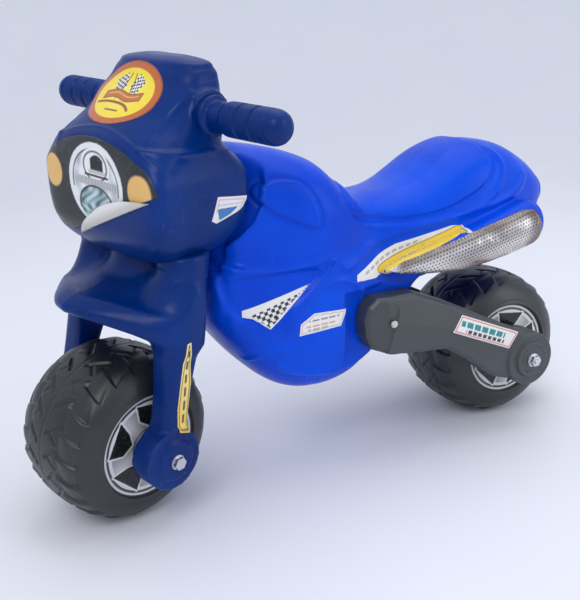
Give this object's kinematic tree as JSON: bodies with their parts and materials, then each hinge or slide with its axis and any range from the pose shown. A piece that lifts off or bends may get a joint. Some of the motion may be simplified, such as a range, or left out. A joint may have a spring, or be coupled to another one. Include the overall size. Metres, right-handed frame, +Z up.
{
  "type": "ride-on toy motorcycle",
  "caption": "Child's foot-to-floor ride-on motorcycle in blown plastic: steering head and fork with ribbed grips, dished saddle, side silencers, rear arms and wide free-rolling wheels.",
  "frame": {"origin": "on the floor under the front axle as it stands with the bars straight, in the middle of the width", "axes": "+X forward, +Y to the rider's left, +Z up"},
  "size_m": [0.7295, 0.3498, 0.514],
  "materials": {
    "royal_plastic": "satin-gloss bright blue blown plastic",
    "navy_plastic": "satin navy blown plastic",
    "grip_plastic": "satin dark navy plastic",
    "wheel_plastic": "semi-matt charcoal blown plastic",
    "arm_plastic": "semi-matt slate plastic",
    "bush_plastic": "natural white plastic",
    "rivet_plastic": "white plastic",
    "plug_rubber": "black",
    "steel": "zinc-plated",
    "disc_label": "printed silver, black and white film",
    "headlamp_film": "printed black film with a picture of a lamp",
    "emblem_film": "printed yellow and brown film",
    "label_film": "printed white film",
    "yellow_film": "printed yellow film",
    "foil_film": "printed film like perforated metal"
  },
  "bodies": {
    "frame": {"body_shell": "royal_plastic", "lower_bush": "bush_plastic", "upper_bush": "bush_plastic", "left_arm": "arm_plastic", "right_arm": "arm_plastic", "arm_rivets": "rivet_plastic", "rear_axle": "steel", "rear_washers": "steel", "rear_nuts": "steel", "tail_plug": "plug_rubber", "chequer_labels": "label_film", "engine_labels": "label_film", "stripe_labels": "label_film", "silencer_labels": "foil_film", "arm_labels": "label_film"},
    "front": {"fork": "navy_plastic", "head_fairing": "navy_plastic", "steering_rod": "steel", "steering_washers": "steel", "steering_nut": "steel", "handlebar_tube": "steel", "left_grip": "grip_plastic", "right_grip": "grip_plastic", "front_axle": "steel", "front_washers": "steel", "front_nut": "steel", "headlamp_label": "headlamp_film", "emblem_label": "emblem_film", "cheek_labels": "label_film", "fork_labels": "yellow_film"},
    "front_roller": {"front_wheel": "wheel_plastic", "front_hub_bushes": "bush_plastic", "front_disc_labels": "disc_label"},
    "rear_roller": {"rear_wheel": "wheel_plastic", "rear_hub_bushes": "bush_plastic", "rear_disc_labels": "disc_label"}
  },
  "joints": [
    {"name": "steering", "type": "hinge", "parent": "frame", "child": "front", "pos_m": [-0.0094, 0, 0.1], "axis": [-0.2807, 0, 0.9598], "range_deg": [-42, 1.2]},
    {"name": "front_wheel_spin", "type": "hinge", "parent": "front", "child": "front_roller", "pos_m": [-0.00056, 0.00321, 0.10054], "axis": [-0.3346, 0.9373, -0.0978], "continuous": true},
    {"name": "rear_wheel_spin", "type": "hinge", "parent": "frame", "child": "rear_roller", "pos_m": [-0.5265, 0, 0.1], "axis": [0, 1, 0], "continuous": true}
  ]
}
